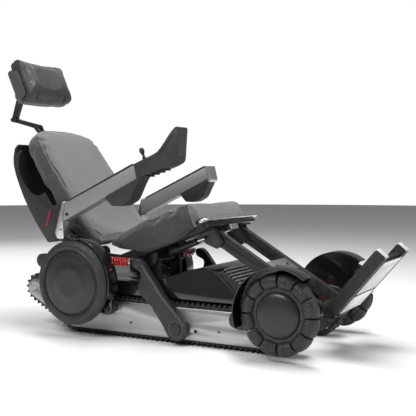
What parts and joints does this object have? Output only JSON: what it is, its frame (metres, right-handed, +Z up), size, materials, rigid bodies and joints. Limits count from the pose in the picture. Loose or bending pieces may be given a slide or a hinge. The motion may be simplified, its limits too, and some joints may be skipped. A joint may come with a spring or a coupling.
{
  "type": "power wheelchair",
  "caption": "Stair-climbing power wheelchair on two rubber tracks, with powered wheels that fold up beside them, a reclining padded seat, headrest, armrests, joystick and a folding legrest.",
  "frame": {"origin": "middle of the footprint, on the floor under the lowest track lug", "axes": "+X forward, +Y to the rider's left, +Z up"},
  "size_m": [1.6686, 0.644, 1.0685],
  "materials": {
    "alloy_black": "satin anodised",
    "battery_grey": "matte",
    "brushed_aluminium": "brushed",
    "fabric_grey": "woven",
    "gloss_black": "gloss",
    "leather_dark": "soft grain",
    "matte_black": "fine grain",
    "rubber_black": "matte",
    "satin_black": "satin",
    "silver": "satin",
    "spring_red": "gloss",
    "steel": "polished"
  },
  "bodies": {
    "chassis": {"chassis_frame": "satin_black", "battery_pack": "battery_grey", "chassis_cover": "gloss_black", "rear_bumper_bar": "matte_black", "track_frame_right": "brushed_aluminium", "track_frame_left": "brushed_aluminium", "track_belt_right": "rubber_black", "track_belt_left": "rubber_black", "rear_fender_right": "gloss_black", "rear_fender_left": "gloss_black"},
    "seat": {"seat_frame": "alloy_black", "seat_cushion": "fabric_grey", "seat_trim": "silver", "legrest_actuator_body": "alloy_black", "arm_bracket_right": "silver", "arm_bracket_left": "silver"},
    "backrest": {"back_cushion": "fabric_grey", "back_shell": "matte_black"},
    "headrest_mast": {"headrest_mast": "satin_black"},
    "headrest_link": {"headrest_link": "satin_black"},
    "headrest_post": {"headrest_post": "satin_black"},
    "headrest": {"headrest_shell": "matte_black", "headrest_pad": "leather_dark"},
    "armrest_right": {"armrest_plate_right": "brushed_aluminium", "armrest_pad_right": "matte_black", "controller_housing": "matte_black"},
    "armrest_left": {"armrest_plate_left": "brushed_aluminium", "armrest_pad_left": "matte_black", "armrest_housing_left": "matte_black"},
    "joystick_gimbal": {"joystick_gimbal": "steel"},
    "joystick": {"joystick": "matte_black"},
    "mode_button": {"mode_button": "matte_black"},
    "legrest": {"legrest_frame": "alloy_black", "legrest_cross_plate": "silver"},
    "legrest_rod": {"legrest_actuator_rod": "steel"},
    "footboard": {"footboard": "matte_black"},
    "sprocket_right": {"drive_sprocket_right": "alloy_black"},
    "idler_right": {"track_idler_right": "alloy_black"},
    "lift_arm_right": {"lift_arm_right": "satin_black"},
    "rear_swing_right": {"rear_swing_arm_right": "satin_black"},
    "shock_right": {"shock_rod_right": "steel", "shock_spring_right": "spring_red"},
    "rear_wheel_right": {"rear_tyre_right": "rubber_black", "rear_hub_right": "alloy_black"},
    "front_swing_right": {"front_swing_arm_right": "alloy_black", "front_fender_right": "gloss_black"},
    "front_wheel_right": {"omni_rollers_right": "rubber_black", "front_hub_right": "alloy_black"},
    "sprocket_left": {"drive_sprocket_left": "alloy_black"},
    "idler_left": {"track_idler_left": "alloy_black"},
    "lift_arm_left": {"lift_arm_left": "satin_black"},
    "rear_swing_left": {"rear_swing_arm_left": "satin_black"},
    "shock_left": {"shock_rod_left": "steel", "shock_spring_left": "spring_red"},
    "rear_wheel_left": {"rear_tyre_left": "rubber_black", "rear_hub_left": "alloy_black"},
    "front_swing_left": {"front_swing_arm_left": "alloy_black", "front_fender_left": "gloss_black"},
    "front_wheel_left": {"omni_rollers_left": "rubber_black", "front_hub_left": "alloy_black"}
  },
  "joints": [
    {"name": "sprocket_right_spin", "type": "hinge", "parent": "chassis", "child": "sprocket_right", "pos_m": [-0.52848, -0.18, 0.155], "axis": [0, 1, 0], "continuous": true},
    {"name": "idler_right_spin", "type": "hinge", "parent": "chassis", "child": "idler_right", "pos_m": [0.55352, -0.18, 0.079], "axis": [0, 1, 0], "continuous": true},
    {"name": "lift_arm_right_swing", "type": "hinge", "parent": "chassis", "child": "lift_arm_right", "pos_m": [0.13052, -0.23, 0.059], "axis": [0, 1, 0], "range_deg": [-24, 0]},
    {"name": "rear_swing_right", "type": "hinge", "parent": "chassis", "child": "rear_swing_right", "pos_m": [-0.14648, -0.252, 0.111], "axis": [0, 1, 0], "range_deg": [-24, 0]},
    {"name": "shock_right_pivot", "type": "hinge", "parent": "rear_swing_right", "child": "shock_right", "pos_m": [-0.16248, -0.225, 0.28], "axis": [0, 1, 0], "range_deg": [0, 54]},
    {"name": "rear_wheel_right_spin", "type": "hinge", "parent": "rear_swing_right", "child": "rear_wheel_right", "pos_m": [-0.27448, -0.297, 0.2007], "axis": [0, 1, 0], "continuous": true},
    {"name": "front_swing_right", "type": "hinge", "parent": "chassis", "child": "front_swing_right", "pos_m": [0.36552, -0.234, 0.109], "axis": [0, 1, 0], "range_deg": [0, 12]},
    {"name": "front_wheel_right_spin", "type": "hinge", "parent": "front_swing_right", "child": "front_wheel_right", "pos_m": [0.53852, -0.286, 0.152], "axis": [0, 1, 0], "continuous": true},
    {"name": "sprocket_left_spin", "type": "hinge", "parent": "chassis", "child": "sprocket_left", "pos_m": [-0.52848, 0.18, 0.155], "axis": [0, 1, 0], "continuous": true},
    {"name": "idler_left_spin", "type": "hinge", "parent": "chassis", "child": "idler_left", "pos_m": [0.55352, 0.18, 0.079], "axis": [0, 1, 0], "continuous": true},
    {"name": "lift_arm_left_swing", "type": "hinge", "parent": "chassis", "child": "lift_arm_left", "pos_m": [0.13052, 0.23, 0.059], "axis": [0, 1, 0], "range_deg": [-24, 0]},
    {"name": "rear_swing_left", "type": "hinge", "parent": "chassis", "child": "rear_swing_left", "pos_m": [-0.14648, 0.252, 0.111], "axis": [0, 1, 0], "range_deg": [-24, 0]},
    {"name": "shock_left_pivot", "type": "hinge", "parent": "rear_swing_left", "child": "shock_left", "pos_m": [-0.16248, 0.225, 0.28], "axis": [0, 1, 0], "range_deg": [0, 54]},
    {"name": "rear_wheel_left_spin", "type": "hinge", "parent": "rear_swing_left", "child": "rear_wheel_left", "pos_m": [-0.27448, 0.297, 0.2007], "axis": [0, 1, 0], "continuous": true},
    {"name": "front_swing_left", "type": "hinge", "parent": "chassis", "child": "front_swing_left", "pos_m": [0.36552, 0.234, 0.109], "axis": [0, 1, 0], "range_deg": [0, 12]},
    {"name": "front_wheel_left_spin", "type": "hinge", "parent": "front_swing_left", "child": "front_wheel_left", "pos_m": [0.53852, 0.286, 0.152], "axis": [0, 1, 0], "continuous": true},
    {"name": "seat_tilt", "type": "hinge", "parent": "chassis", "child": "seat", "pos_m": [-0.05948, 0, 0.271], "axis": [0, 1, 0], "range_deg": [0, 7]},
    {"name": "back_recline", "type": "hinge", "parent": "seat", "child": "backrest", "pos_m": [-0.33648, 0, 0.344], "axis": [0, 1, 0], "range_deg": [-20, 8]},
    {"name": "headrest_height", "type": "slide", "parent": "backrest", "child": "headrest_mast", "axis": [-0.5505, 0, 0.8348], "range_m": [0, 0.07]},
    {"name": "headrest_link_tilt", "type": "hinge", "parent": "headrest_mast", "child": "headrest_link", "pos_m": [-0.69448, 0, 0.799], "axis": [0, 1, 0], "range_deg": [-30, 20]},
    {"name": "headrest_post_tilt", "type": "hinge", "parent": "headrest_link", "child": "headrest_post", "pos_m": [-0.82448, 0, 0.832], "axis": [0, 1, 0], "range_deg": [-30, 15]},
    {"name": "headrest_angle", "type": "hinge", "parent": "headrest_post", "child": "headrest", "pos_m": [-0.78648, 0, 0.934], "axis": [0, 1, 0], "range_deg": [-20, 12]},
    {"name": "armrest_right_lift", "type": "hinge", "parent": "seat", "child": "armrest_right", "pos_m": [-0.32448, -0.257, 0.491], "axis": [0, 1, 0], "range_deg": [-66, 0]},
    {"name": "armrest_left_lift", "type": "hinge", "parent": "seat", "child": "armrest_left", "pos_m": [-0.32448, 0.257, 0.491], "axis": [0, 1, 0], "range_deg": [-66, 0]},
    {"name": "joystick_side", "type": "hinge", "parent": "armrest_right", "child": "joystick_gimbal", "pos_m": [0.02252, -0.258, 0.629], "axis": [0.9272, 0, 0.3746], "range_deg": [-12, 12], "stiffness_Nm_per_rad": 0.2},
    {"name": "joystick_fore_aft", "type": "hinge", "parent": "joystick_gimbal", "child": "joystick", "pos_m": [0.02252, -0.258, 0.629], "axis": [0, 1, 0], "range_deg": [-12, 12], "stiffness_Nm_per_rad": 0.2},
    {"name": "mode_button_press", "type": "slide", "parent": "armrest_right", "child": "mode_button", "axis": [0, 0, -1], "range_m": [0, 0.003], "stiffness_N_per_m": 400},
    {"name": "legrest_swing", "type": "hinge", "parent": "seat", "child": "legrest", "pos_m": [0.21952, 0, 0.375], "axis": [0, 1, 0], "range_deg": [-50, 4]},
    {"name": "legrest_rod_travel", "type": "slide", "parent": "seat", "child": "legrest_rod", "axis": [0.9336, 0, 0.3584], "range_m": [-0.0028, 0.035]},
    {"name": "footboard_fold", "type": "hinge", "parent": "legrest", "child": "footboard", "pos_m": [0.64052, 0, 0.122], "axis": [0, 1, 0], "range_deg": [-35, 10]}
  ],
  "couplings": [
    {"joint": "idler_right_spin", "follows": "sprocket_right_spin", "ratio": 1.3846},
    {"joint": "rear_swing_right", "follows": "lift_arm_right_swing", "ratio": 1},
    {"joint": "shock_right_pivot", "follows": "lift_arm_right_swing", "ratio": -2.246},
    {"joint": "front_swing_right", "follows": "lift_arm_right_swing", "ratio": -0.5},
    {"joint": "idler_left_spin", "follows": "sprocket_left_spin", "ratio": 1.3846},
    {"joint": "lift_arm_left_swing", "follows": "lift_arm_right_swing", "ratio": 1},
    {"joint": "rear_swing_left", "follows": "lift_arm_right_swing", "ratio": 1},
    {"joint": "shock_left_pivot", "follows": "lift_arm_right_swing", "ratio": -2.246},
    {"joint": "front_swing_left", "follows": "lift_arm_right_swing", "ratio": -0.5},
    {"joint": "legrest_rod_travel", "follows": "legrest_swing", "m_per_rad": -0.04}
  ]
}
